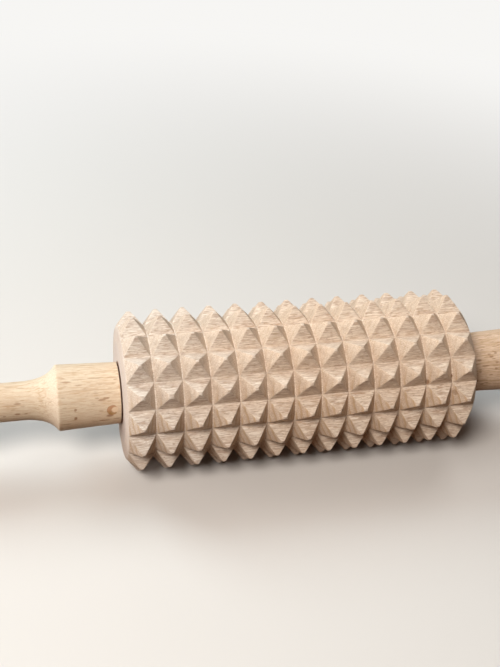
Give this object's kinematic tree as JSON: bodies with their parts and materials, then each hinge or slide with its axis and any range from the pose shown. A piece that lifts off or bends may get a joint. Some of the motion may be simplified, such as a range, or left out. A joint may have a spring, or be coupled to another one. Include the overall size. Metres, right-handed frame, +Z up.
{
  "type": "dough docker",
  "caption": "Spiked wooden roller with rings of pyramid teeth, turning on an axle between turned handles, for pricking rolled dough.",
  "frame": {"origin": "centre of the roller, on the axle's centre line", "axes": "+X along the axle towards the right handle, +Z up, with one lengthwise groove of the roller straight down at rest"},
  "size_m": [0.4088, 0.0786, 0.0786],
  "materials": {
    "roller_wood": "raw pale beech, fine grain along the axle",
    "handle_wood": "smooth turned beech, warmer than the roller",
    "peg_wood": "darker hardwood dowel, sanded flush",
    "bush_plastic": "plain off-white nylon"
  },
  "bodies": {
    "spindle": {"axle": "handle_wood", "handle_left": "handle_wood", "handle_right": "handle_wood", "peg_left": "peg_wood", "peg_right": "peg_wood", "washer_left": "bush_plastic", "washer_right": "bush_plastic"},
    "roller": {"roller": "roller_wood", "bush_left": "bush_plastic", "bush_right": "bush_plastic"}
  },
  "joints": [
    {"name": "roller_spin", "type": "hinge", "parent": "spindle", "child": "roller", "pos_m": [0, 0, 0], "axis": [1, 0, 0], "continuous": true}
  ]
}
